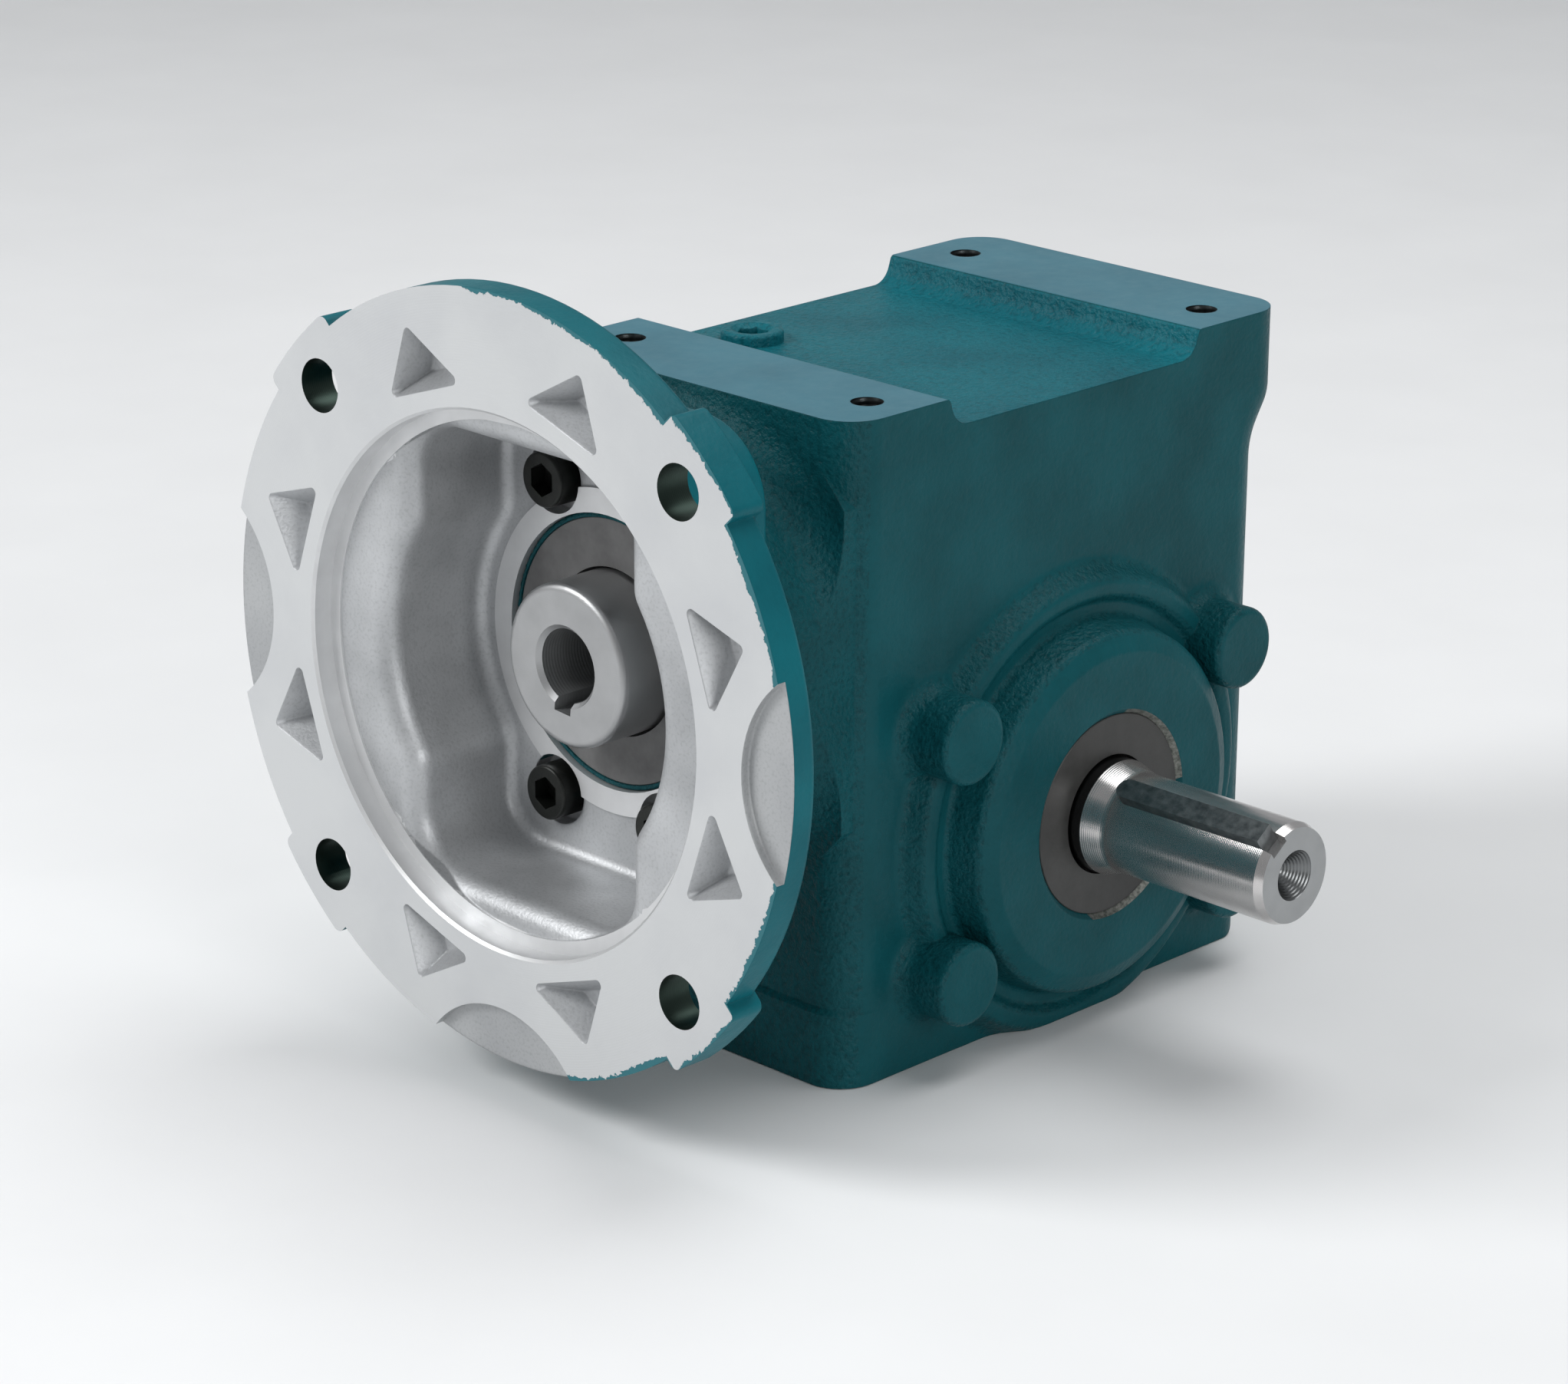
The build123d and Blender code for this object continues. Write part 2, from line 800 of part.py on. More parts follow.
def make_wheel_hub():
    half = hub_length / 2
    rim_half = wheel_width / 2
    web = hub_web / 2
    hub = lathe(
        [
            (-half, wheel_seat_r + bearing_fit),
            (-half, hub_r),
            (-web, hub_r),
            (-web, hub_rim_r - 3),
            (-rim_half, hub_rim_r - 3),
            (-rim_half, hub_rim_r),
            (rim_half, hub_rim_r),
            (rim_half, hub_rim_r - 3),
            (web, hub_rim_r - 3),
            (web, hub_r),
            (half, hub_r),
            (half, wheel_seat_r + bearing_fit),
        ],
        {1: 1.0, 2: 1.0, 3: 1.0, 8: 1.0, 9: 1.0, 10: 1.0},
    )
    slot = wheel_key_slot(wheel_seat_r + wheel_key_width / 2 + 0.1, 0.05)
    return output_frame * (hub - slot)


def wheel_key_slot(top, room):
    half = wheel_key_width / 2 + room
    return block((0, top), (-half, half), (-hub_length, hub_length))


def make_wheel_key():
    low = wheel_seat_r - wheel_key_width / 2
    half = wheel_key_width / 2
    key = block((low, low + wheel_key_width), (-half, half), (-wheel_key_length / 2, wheel_key_length / 2))
    key = fillet(key.edges().filter_by(Axis.X), half - 0.1)
    return output_frame * key


def output_keyway(room):
    # a slot with a round inner end, open at the shaft's end
    half = output_key_width / 2 + room
    low = output_r - output_key_width / 2 - room
    slot = block((low, 2 * output_r), (-half, half), (output_key_start + half, output_end + 1))
    middle = (low + 2 * output_r) / 2
    height = 2 * output_r - low
    nose = Pos(middle, 0, output_key_start + half) * Rot(0, 90, 0) * Cylinder(half, height)
    return Rot(0, 0, output_key_angle) * (slot + nose)


def make_output_shaft():
    collar_start = hub_length / 2
    outline = [
        (-bearing_outer_face + 0.5, 0),
        (-bearing_outer_face + 0.5, journal_r),
        (-bearing_inner_face, journal_r),
        (-bearing_inner_face, wheel_seat_r),
        (collar_start, wheel_seat_r),
        (collar_start, collar_r),
        (collar_start + collar_width, collar_r),
        (collar_start + collar_width, wheel_seat_r + 2),
        (bearing_inner_face, wheel_seat_r + 2),
        (bearing_inner_face, journal_r),
        (journal_end, journal_r),
        (journal_end + taper_length, output_r),
        (output_end - end_chamfer_length, output_r),
        (output_end, output_r - end_chamfer),
        (output_end, 0),
    ]
    shaft = lathe(outline, {1: 0.8, 7: 1.0, 10: 0.5, 11: 4.0})
    centre = Pos(0, 0, output_end - centre_hole_depth / 2 + 0.01)
    shaft -= centre * Cone(0.6, centre_hole_r, centre_hole_depth)
    shaft -= output_keyway(0.03)
    half = wheel_key_width / 2
    low = wheel_seat_r - half
    slot = block((low, 50), (-half - 0.02, half + 0.02),
                 (-wheel_key_length / 2 - 0.1, wheel_key_length / 2 + 0.1))
    shaft -= fillet(slot.edges().filter_by(Axis.X), half - 0.1)
    return output_frame * shaft


def make_output_key():
    half = output_key_width / 2
    low = output_r - half
    end = output_end - output_key_gap
    key = block((low, low + output_key_width), (-half, half), (output_key_start + half, end))
    nose = Pos(low + half, 0, output_key_start + half) * Rot(0, 90, 0) * Cylinder(half, output_key_width)
    key = Rot(0, 0, output_key_angle) * (key + nose)
    return output_frame * key


def roller_bearing():
    # the rollers' axes, and both races, meet at one apex on the shaft's axis at 0
    pitch_r = (journal_r + roller_bearing_r) / 2 + 0.5
    tilt = math.radians(roller_tilt)
    half_angle = math.radians(race_half_angle)
    middle = pitch_r / math.tan(tilt)
    slope_in = math.tan(tilt - half_angle)
    slope_out = math.tan(tilt + half_angle)
    reach = middle / math.cos(tilt)
    start, end = reach - roller_half_length, reach + roller_half_length
    shrink = roller_clearance
    roller_slope = math.tan(half_angle)

    def roller(grow):
        outline = [
            (start - grow, 0),
            (start - grow, start * roller_slope + grow),
            (end + grow, end * roller_slope + grow),
            (end + grow, 0),
        ]
        return Rot(0, roller_tilt, 0) * lathe(outline)

    back = middle + roller_bearing_width / 2
    front = middle - roller_bearing_width / 2
    room = roller_half_length + 0.5
    rib_back = back - 1.6
    race_front = rib_back - 2 * room
    inner = lathe(
        [
            (front + 1.2, journal_r + bearing_fit),
            (front + 1.2, race_front * slope_in + 0.3),
            (race_front, race_front * slope_in + 0.3),
            (race_front, race_front * slope_in - shrink),
            (rib_back, rib_back * slope_in - shrink),
            (rib_back, rib_back * slope_in + 2.0),
            (back, rib_back * slope_in + 2.0),
            (back, journal_r + bearing_fit),
        ]
    )
    cup = lathe(
        [
            (front, front * slope_out + shrink),
            (front, roller_bearing_r),
            (back - 3.4, roller_bearing_r),
            (back - 3.4, (back - 3.4) * slope_out + shrink),
        ],
        {1: 0.8},
    )
    middle_in = tilt + math.radians(0.55)
    cage_in = [(race_front + 0.6) * math.tan(middle_in), (rib_back - 0.5) * math.tan(middle_in)]
    cage = lathe(
        [
            (race_front + 0.6, cage_in[0]),
            (race_front + 0.6, cage_in[0] + 0.9),
            (rib_back - 0.5, cage_in[1] + 0.9),
            (rib_back - 0.5, cage_in[1]),
        ]
    )
    for cut in around(roller(0.12), roller_count):
        cage -= cut
    shift = Pos(0, 0, -front)
    return {
        "cup": shift * cup,
        "cone": shift * inner,
        "rollers": shift * Compound(children=around(roller(-shrink), roller_count)),
        "cage": shift * cage,
    }


def make_spacer():
    inner = wheel_seat_r + 0.05
    outline = [
        (-bearing_inner_face, inner),
        (-bearing_inner_face, collar_r - 1.5),
        (-hub_length / 2, collar_r - 1.5),
        (-hub_length / 2, inner),
    ]
    return output_frame * lathe(outline, {1: 0.5, 2: 0.5})


def lip_seal(outer_r, shaft_r, front, width):
    # rubber-covered seal; the lip runs on the shaft behind an open front hole
    lip_r = shaft_r + seal_lip_clearance
    return lathe(
        [
            (front, shaft_r + seal_face_gap),
            (front, outer_r),
            (front + width, outer_r),
            (front + width, outer_r - seal_skin),
            (front + 2 * seal_skin, outer_r - seal_skin),
            (front + 2 * seal_skin, shaft_r + 3.2),
            (front + width - 1, shaft_r + 2.4),
            (front + width - 1, shaft_r + 1.2),
            (front + width / 2, lip_r),
            (front + seal_skin, shaft_r + seal_face_gap + 0.6),
        ],
        {1: 0.3},
    )


# Output cover and small parts


def cover_plate(start, end, grow=0.0):
    # disc with four ears over the lugs
    rims = [Pos(z, -y) * Circle(lug_r + grow) for y, z in lug_places]
    edges = Circle(cover_r + grow).edges()
    for rim in rims:
        edges += rim.edges()
    return Pos(0, 0, start) * extrude(make_hull(edges), end - start)


def make_cover():
    plate = cover_plate(cover_outer_x, cover_inner_x)
    plate = fillet(plate.edges().group_by(Axis.Z)[0], 2.0)
    boss = lathe(
        [
            (cover_outer_x + 1, 0),
            (cover_outer_x + 1, cover_boss_r + 3),
            (cover_outer_x, cover_boss_r + 3),
            (cover_outer_x, cover_boss_r),
            (cover_outer_x - cover_boss_height, cover_boss_r),
            (cover_outer_x - cover_boss_height, 0),
        ],
        {3: 2.0, 4: 1.2},
    )
    pilot = disc(cover_inner_x - 1, cover_inner_x + cover_pilot_length, cover_pilot_r - 0.02)
    cover = plate + boss + pilot
    cover -= disc(-bearing_outer_face, 0, roller_bearing_r + bearing_fit)
    cover -= disc(-bearing_outer_face - 3, 0, journal_r + 3.5)
    for y, z in lug_places:
        cover -= disc(cover_outer_x - 5, 0, screw_r + 0.3, z, -y)
    return output_frame * cover


def make_cover_gasket():
    gasket = cover_plate(cover_inner_x, cover_seat_x, -0.3)
    gasket -= disc(cover_inner_x - 1, 0, cover_pilot_r + 0.4)
    for y, z in lug_places:
        gasket -= disc(cover_inner_x - 1, 0, screw_r + 0.3, z, -y)
    seat = output_frame * disc(cover_inner_x, cover_seat_x, ridge_r)
    lugs = [along_x(cover_inner_x, cover_seat_x, lug_r, y, output_height + z) for y, z in lug_places]
    for piece in lugs:
        seat += piece
    return (output_frame * gasket) & seat & block((-200, 0), (-200, 200), (0.5, 200))


def hex_screw(length):
    # head below 0, shank along +Z
    head = hex_prism(-hex_head_height, 0, hex_head_flats)
    crown = lathe(
        [
            (-hex_head_height, 0),
            (-hex_head_height, hex_head_flats / 2 - 0.2),
            (-hex_head_height + 1.0, hex_head_flats / 2 + 1.2),
            (0, hex_head_flats / 2 + 1.2),
            (0, 0),
        ]
    )
    return (head & crown) + disc(-0.01, length, screw_r)


def make_cover_screws():
    screw = Pos(0, 0, cover_outer_x) * hex_screw(cover_screw_length)
    return output_frame * Compound(children=[Pos(z, -y, 0) * screw for y, z in lug_places])


def make_plug(place):
    outline = [
        (-plug_length, 0),
        (-plug_length, plug_r - 0.3),
        (-plug_length + 1, plug_r - 0.02),
        (plug_proud, plug_r - 0.02),
        (plug_proud, 0),
    ]
    plug = lathe(outline, {3: 0.9})
    socket = hex_prism(plug_proud - plug_socket_depth, plug_proud + 1, plug_socket)
    mouth = Pos(0, 0, plug_proud - 0.5) * Cone(plug_socket / 2, plug_socket / 2 + 1.6, 1.02)
    return place * (plug - socket - mouth)


def make_snap_ring():
    start = rear_bearing_back + 0.03
    band = ring(start, start + snap_ring_thickness, snap_groove_r - 0.2, snap_ring_inner_r)
    gap = block((snap_ring_inner_r - 5, snap_groove_r + 5), (-6, 6), (start - 1, start + 5))
    ears = []
    for side in (-1, 1):
        ear = disc(start, start + snap_ring_thickness, 3.0, snap_ring_inner_r, 8.4 * side)
        ear -= disc(start - 1, start + 5, 1.2, snap_ring_inner_r - 0.4, 8.4 * side)
        ears.append(ear)
    return worm_frame * (band - gap + ears[0] + ears[1])


def make_end_cap():
    # pressed closure: a shallow cup with its open side outward
    back = rear_boss_face - 0.4
    front = back - end_cap_thickness
    cup = lathe(
        [
            (front, 0),
            (front, bearing_bore_r),
            (back, bearing_bore_r),
            (back, bearing_bore_r - end_cap_web),
            (front + end_cap_web, bearing_bore_r - end_cap_web - 0.6),
            (front + end_cap_web, 0),
        ],
        {1: 1.6, 4: 1.2},
    )
    return worm_frame * cup


def build_all():
    os.makedirs("parts", exist_ok=True)
    save(make_case(), "gear_case")
    save(make_flange(), "motor_flange")
    save(make_flange_gasket(), "flange_gasket")
    save(make_flange_screws(), "flange_screws")
    seal = worm_frame * lip_seal(input_seal_r, quill_r, seal_front, input_seal_width)
    save(seal, "input_seal")
    save(make_worm(), "worm_shaft")

    front = ball_bearing(quill_r, bearing_bore_r, front_bearing_width, front_ball_r, front_ball_count)
    rear = ball_bearing(rear_seat_r, bearing_bore_r, rear_bearing_width, rear_ball_r, rear_ball_count)
    for name, parts in front.items():
        save(worm_frame * Pos(0, 0, front_bearing_front) * parts, f"front_bearing_{name}")
    for name, parts in rear.items():
        save(worm_frame * Pos(0, 0, rear_bearing_front) * parts, f"rear_bearing_{name}")
    save(make_snap_ring(), "rear_snap_ring")
    save(make_end_cap(), "rear_end_cap")

    save(make_wheel_rim(), "worm_wheel_rim")
    save(make_wheel_hub(), "worm_wheel_hub")
    save(make_wheel_key(), "worm_wheel_key")
    save(make_output_shaft(), "output_shaft")
    save(make_output_key(), "output_key")
    save(make_spacer(), "wheel_spacer")

    rollers = roller_bearing()
    cover_side = output_frame * Pos(0, 0, -bearing_outer_face)
    drive_side = output_frame * Pos(0, 0, bearing_outer_face) * Rot(180, 0, 0)
    for name, parts in rollers.items():
        save(drive_side * parts, f"drive_bearing_{name}")
        save(cover_side * parts, f"cover_bearing_{name}")
    output_face = output_frame * Pos(0, 0, output_seal_face) * Rot(180, 0, 0)
    save(output_face * lip_seal(output_seal_r, journal_r, 0, output_seal_width), "output_seal")
    save(make_cover(), "output_cover")
    save(make_cover_gasket(), "cover_gasket")
    save(make_cover_screws(), "cover_screws")
    for name, place in plug_places().items():
        save(make_plug(place), name)


build_all()
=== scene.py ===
import bpy
import math
from mathutils import Matrix, Vector


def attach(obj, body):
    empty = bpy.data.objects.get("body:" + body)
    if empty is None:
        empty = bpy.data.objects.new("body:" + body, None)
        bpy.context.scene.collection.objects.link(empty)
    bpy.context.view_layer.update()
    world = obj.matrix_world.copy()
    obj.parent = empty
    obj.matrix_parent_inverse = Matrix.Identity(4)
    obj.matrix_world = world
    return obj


# Right-angle worm gear reducer. Metres, X along the output shaft, -Y to the motor, Z up.

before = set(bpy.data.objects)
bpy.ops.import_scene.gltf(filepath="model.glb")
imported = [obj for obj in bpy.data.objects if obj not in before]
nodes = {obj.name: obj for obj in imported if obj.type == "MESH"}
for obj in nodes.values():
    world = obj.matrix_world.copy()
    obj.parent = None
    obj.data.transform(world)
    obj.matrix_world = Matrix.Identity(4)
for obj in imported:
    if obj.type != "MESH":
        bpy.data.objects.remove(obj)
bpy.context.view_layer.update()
mm = 0.001
toMm = 1000
wormZ = 92.45      # height of the worm and motor axis, in mm
shaftZ = 48.0      # height of the output shaft, in mm
facing = 0.9       # a facet whose normal has more than this along an axis faces along it


def fromHex(text):
    # an sRGB hex colour as linear RGBA
    parts = [int(text[i:i + 2], 16) / 255 for i in (0, 2, 4)]
    return tuple([p / 12.92 if p <= 0.04045 else ((p + 0.055) / 1.055) ** 2.4 for p in parts] + [1.0])


def addNode(tree, kind, values=None, links=None, stops=None):
    # values are the node's own settings or its sockets'; links go from a socket to where it comes from
    node = tree.nodes.new("ShaderNode" + kind)
    for name, value in (values or {}).items():
        if isinstance(name, str) and hasattr(node, name):
            setattr(node, name, value)
        else:
            node.inputs[name].default_value = value
    for name, source in (links or {}).items():
        tree.links.new(source, node.inputs[name])
    if stops:
        ramp = node.color_ramp
        while len(ramp.elements) < len(stops):
            ramp.elements.new(0.5)
        for element, (place, colour) in zip(ramp.elements, stops):
            element.position = place
            element.color = fromHex(colour) if isinstance(colour, str) else (colour, colour, colour, 1)
    return node


def newMaterial(name, values):
    # a surface with its shader, and the object's own coordinates in millimetres
    material = bpy.data.materials.new(name)
    material.use_nodes = True
    tree = material.node_tree
    tree.nodes.clear()
    shader = addNode(tree, "BsdfPrincipled", values)
    addNode(tree, "OutputMaterial", links={"Surface": shader.outputs[0]})
    coords = addNode(tree, "TexCoord")
    inMm = addNode(tree, "Mapping", {"Scale": (toMm, toMm, toMm)}, {"Vector": coords.outputs["Object"]})
    return material, tree, shader, inMm.outputs[0]


# Paint: sprayed alkyd enamel over cast iron. The casting's skin shows through as a pebbled relief,
# most in the top channel and on the walls, and is gone where a pad was machined.
paint = {
    "plain": ("0f5057", "0b454b"),      # each film's colour, and where it lies thinner
    "channel": ("0f636e", "0c5762"),    # painted top light: brighter than the plain film, for the channel's upward faces
    # painted light: a brighter copy of the plain film, for the paint on the flange
    "rim": ("11656f", "0d5862"),
    "pad": ("3f7281", "386978"),        # painted reflection: paler, standing in for the bright room that a flat pad mirrors
    "grainMm": 1.15,      # the sand's pebbles under the paint
    "grainDeepMm": 0.55,
    "pitPaintedShade": 0.7,      # painted shade: how dark the film is made between the pebbles
    "peelMm": 3.4,        # the paint's own orange peel
    "peelDeepMm": 0.5,
    "peelBump": (0.12, 0.42),    # on smooth and on rough iron
    "sagMm": 24.0,        # slow change of tone from thick to thin
    "edgeMm": 0.5,        # the film rounds every edge
    "specular": 0.12,     # an old alkyd's film is soft, so it mirrors less than a new gloss
    "padSpecular": 0.3,   # and more where it lies on a flat pad
    "roughness": (0.3, 0.46),
}


def paintedIron(name, grainBump, film="plain", specular=paint["specular"]):
    # grainBump is the share of the casting's pebbles that shows through the film, as relief and as painted
    # shade between them
    material, tree, shader, at = newMaterial(name, {"IOR": 1.5, "Specular IOR Level": specular})
    thick, thin = paint[film]
    slow = addNode(tree, "TexNoise", {"Scale": 1 / paint["sagMm"], "Detail": 4.0}, {"Vector": at})
    grain = addNode(tree, "TexNoise", {"Scale": 1 / paint["grainMm"], "Detail": 3.0, "Roughness": 0.55},
                    {"Vector": at})
    peel = addNode(tree, "TexNoise", {"Scale": 1 / paint["peelMm"], "Detail": 2.0}, {"Vector": at})
    tone = addNode(tree, "ValToRGB", links={"Fac": slow.outputs[0]}, stops=[(0.35, thin), (0.65, thick)])
    # painted shade: the film is darkened where the pebbles' relief is lowest
    pits = addNode(tree, "ValToRGB", links={"Fac": grain.outputs[0]},
                   stops=[(0.3, paint["pitPaintedShade"]), (0.52, 1.0)])
    shade = addNode(tree, "Mix", {"data_type": "RGBA", "blend_type": "MULTIPLY", 0: grainBump},
                    {6: tone.outputs[0], 7: pits.outputs[0]})
    tree.links.new(shade.outputs[2], shader.inputs["Base Color"])
    low, high = paint["roughness"]
    rough = addNode(tree, "MapRange", {"To Min": low, "To Max": high}, {"Value": peel.outputs[0]})
    tree.links.new(rough.outputs[0], shader.inputs["Roughness"])
    soft = addNode(tree, "Bevel", {"samples": 4, "Radius": paint["edgeMm"] * mm})
    onSmooth, onRough = paint["peelBump"]
    peelBump = onSmooth + (onRough - onSmooth) * grainBump
    wide = addNode(tree, "Bump", {"Strength": peelBump, "Distance": paint["peelDeepMm"] * mm},
                   {"Height": peel.outputs[0], "Normal": soft.outputs[0]})
    fine = addNode(tree, "Bump", {"Strength": grainBump, "Distance": paint["grainDeepMm"] * mm},
                   {"Height": grain.outputs[0], "Normal": wide.outputs[0]})
    tree.links.new(fine.outputs[0], shader.inputs["Normal"])
    return material


enamelCast = paintedIron("enamelOverSandCasting", 0.95)       # rough walls and valleys
enamelSmooth = paintedIron("enamelOverSmoothCasting", 0.25)   # the broad side, bosses and cover
# painted reflection: the machined pads take the paler pad film
enamelPadPaintedReflection = paintedIron("enamelOverMachinedPadPaintedReflection", 0.04, "pad", paint["padSpecular"])
# painted top light: the channel's upward faces take the brighter channel film
enamelChannelPaintedTopLight = paintedIron("enamelInTopChannelPaintedTopLight", 1.0, "channel")
# painted light: the flange's paint is a brighter copy of the case's plain film
enamelRimPaintedLight = paintedIron("enamelOverDieCastingPaintedLight", 0.15, "rim")
print("paint: five enamels")


# Flange: pressure die-cast aluminium. Its face is turned bright, the inside keeps the grey skin of
# the die, and the back and rim are painted with the case, in a brighter copy of its enamel that is painted
# light; the paint's edge on the face is ragged.
alloy = {
    "face": ("cbcdce", "c4c6c8"),    # bright and dull clouds of each surface
    "skin": ("c6c8ca", "a7a9ab"),
    "lens": ("b9bbbc", "a9abad"),
    "faceMetallic": 0.35,  # dulled by handling and oil
    "faceRoughness": 0.42,
    "skinMetallic": 0.62,
    "skinRoughness": 0.47,
    "turningMm": 0.55,     # the tool's feed, drawn wider than its real 0.2 so that it shows
    "turningDeepMm": 0.05,
    "turningBump": 0.08,
    "skinGrainMm": 0.7,
    "skinDeepMm": 0.15,
    "skinEdgeMm": 0.7,
    "skinPitPaintedShade": 0.8,     # painted shade: how dark the skin's pits are made, and how much of that shows
    "skinPitShadeShare": 0.7,
    "stainMm": 22.0,
    "paintEdgeR": 81.5,    # where paint begins on the right of the face, from the worm axis
    "paintDeepMm": 0.15,
    "paintBump": 0.6,
    "paintSoftMm": 0.1,    # width over which it thins out
    "tabReachMm": 3.3,     # the four bolt tabs are bare further out
    "tabHalfMm": 11.6,
    "bareSide": (5.0, 45.0),  # how far to the left of the axis the paint's edge leaves the face
    "bareReachMm": 8.0,
    "raggedMm": 1.1,       # the small teeth of the paint's edge, and how far they reach
    "raggedReachMm": 2.2,
    "driftMm": 18.0,       # its slow waves
    "driftReachMm": 4.0,
}


def radiusFromWormAxis(tree, at):
    # distance from the worm axis in millimetres
    moved = addNode(tree, "VectorMath", {"operation": "SUBTRACT", 1: (0, 0, wormZ)}, {0: at})
    flat = addNode(tree, "VectorMath", {"operation": "MULTIPLY", 1: (1, 0, 1)}, {0: moved.outputs[0]})
    length = addNode(tree, "VectorMath", {"operation": "LENGTH"}, {0: flat.outputs[0]})
    return length.outputs["Value"]


def paintOnFace(tree, at, radius):
    # 1 where paint lies on the turned face: none on the left, ragged on the right, further out on the tabs
    ragged = addNode(tree, "TexNoise", {"Scale": 1 / alloy["raggedMm"], "Detail": 4.0}, {"Vector": at})
    drift = addNode(tree, "TexNoise", {"Scale": 1 / alloy["driftMm"], "Detail": 2.0}, {"Vector": at})
    edge = addNode(tree, "Math", {"operation": "MULTIPLY_ADD", 1: alloy["raggedReachMm"]},
                   {0: ragged.outputs[0], 2: radius})
    edge = addNode(tree, "Math", {"operation": "MULTIPLY_ADD", 1: alloy["driftReachMm"]},
                   {0: drift.outputs[0], 2: edge.outputs[0]})
    # a bolt tab lies along a diagonal of the face, where the two distances from the axis are alike
    split = addNode(tree, "SeparateXYZ", links={0: at})
    side = addNode(tree, "Math", {"operation": "ABSOLUTE"}, {0: split.outputs[0]})
    fromAxis = addNode(tree, "Math", {"operation": "SUBTRACT", 1: wormZ}, {0: split.outputs[2]})
    upDown = addNode(tree, "Math", {"operation": "ABSOLUTE"}, {0: fromAxis.outputs[0]})
    offTab = addNode(tree, "Math", {"operation": "SUBTRACT"}, {0: side.outputs[0], 1: upDown.outputs[0]})
    tab = addNode(tree, "Math", {"operation": "COMPARE", 1: 0.0, 2: alloy["tabHalfMm"] * math.sqrt(2)},
                  {0: offTab.outputs[0]})
    near, far = alloy["bareSide"]
    bare = addNode(tree, "MapRange",
                   {"From Min": -near, "From Max": -far, "To Min": 0.0, "To Max": alloy["bareReachMm"]},
                   {"Value": split.outputs[0]})
    limit = addNode(tree, "Math", {"operation": "MULTIPLY_ADD", 1: alloy["tabReachMm"]},
                    {0: tab.outputs[0], 2: bare.outputs[0]})
    over = addNode(tree, "Math", {"operation": "SUBTRACT"}, {0: edge.outputs[0], 1: limit.outputs[0]})
    start = alloy["paintEdgeR"] + (alloy["raggedReachMm"] + alloy["driftReachMm"]) / 2
    painted = addNode(tree, "MapRange", {"From Min": start, "From Max": start + alloy["paintSoftMm"]},
                      {"Value": over.outputs[0]})
    return painted.outputs[0]


def turnedAlloyFace():
    # fine rings round the worm axis, with paint over the outer part
    material, tree, shader, at = newMaterial("turnedAluminiumFace", {"Roughness": alloy["faceRoughness"]})
    light, dull = alloy["face"]
    radius = radiusFromWormAxis(tree, at)
    painted = paintOnFace(tree, at, radius)
    stain = addNode(tree, "TexNoise", {"Scale": 1 / alloy["stainMm"], "Detail": 5.0}, {"Vector": at})
    tone = addNode(tree, "ValToRGB", links={"Fac": stain.outputs[0]}, stops=[(0.3, dull), (0.6, light)])
    # the paint on the face takes the rim's brighter film, which is painted light
    colour = addNode(tree, "Mix", {"data_type": "RGBA", 7: fromHex(paint["rim"][0])},
                     {0: painted, 6: tone.outputs[0]})
    tree.links.new(colour.outputs[2], shader.inputs["Base Color"])
    metal = addNode(tree, "MapRange", {"To Min": alloy["faceMetallic"], "To Max": 0.0}, {"Value": painted})
    tree.links.new(metal.outputs[0], shader.inputs["Metallic"])
    rings = addNode(tree, "Math", {"operation": "MULTIPLY", 1: 2 * math.pi / alloy["turningMm"]},
                    {0: radius})
    wave = addNode(tree, "Math", {"operation": "SINE"}, {0: rings.outputs[0]})
    bump = addNode(tree, "Bump", {"Strength": alloy["turningBump"], "Distance": alloy["turningDeepMm"] * mm},
                   {"Height": wave.outputs[0]})
    lift = addNode(tree, "Bump", {"Strength": alloy["paintBump"], "Distance": alloy["paintDeepMm"] * mm},
                   {"Height": painted, "Normal": bump.outputs[0]})
    tree.links.new(lift.outputs[0], shader.inputs["Normal"])
    return material


def dieCastSkin(name, clouds, bumpStrength):
    # grey skin left by the die: matt, finely pitted, with painted shade in its pits and clouds from the
    # lubricant
    material, tree, shader, at = newMaterial(name, {"Metallic": alloy["skinMetallic"],
                                                    "Roughness": alloy["skinRoughness"]})
    light, dark = clouds
    cloud = addNode(tree, "TexNoise", {"Scale": 1 / alloy["stainMm"], "Detail": 5.0}, {"Vector": at})
    pits = addNode(tree, "TexNoise", {"Scale": 1 / alloy["skinGrainMm"], "Detail": 3.0}, {"Vector": at})
    tone = addNode(tree, "ValToRGB", links={"Fac": cloud.outputs[0]}, stops=[(0.3, dark), (0.68, light)])
    skinPitShadeRamp = addNode(tree, "ValToRGB", links={"Fac": pits.outputs[0]},
                    stops=[(0.3, alloy["skinPitPaintedShade"]), (0.5, 1.0)])
    colour = addNode(tree, "Mix", {"data_type": "RGBA", "blend_type": "MULTIPLY", 0: alloy["skinPitShadeShare"]},
                     {6: tone.outputs[0], 7: skinPitShadeRamp.outputs[0]})
    tree.links.new(colour.outputs[2], shader.inputs["Base Color"])
    soft = addNode(tree, "Bevel", {"samples": 4, "Radius": alloy["skinEdgeMm"] * mm})
    bump = addNode(tree, "Bump", {"Strength": bumpStrength, "Distance": alloy["skinDeepMm"] * mm},
                   {"Height": pits.outputs[0], "Normal": soft.outputs[0]})
    tree.links.new(bump.outputs[0], shader.inputs["Normal"])
    return material


faceAlloy = turnedAlloyFace()
skinAlloy = dieCastSkin("dieCastAluminiumSkin", alloy["skin"], 0.5)
lensAlloy = dieCastSkin("dieCastAluminiumFlat", alloy["lens"], 0.3)
print("flange: face and two skins")


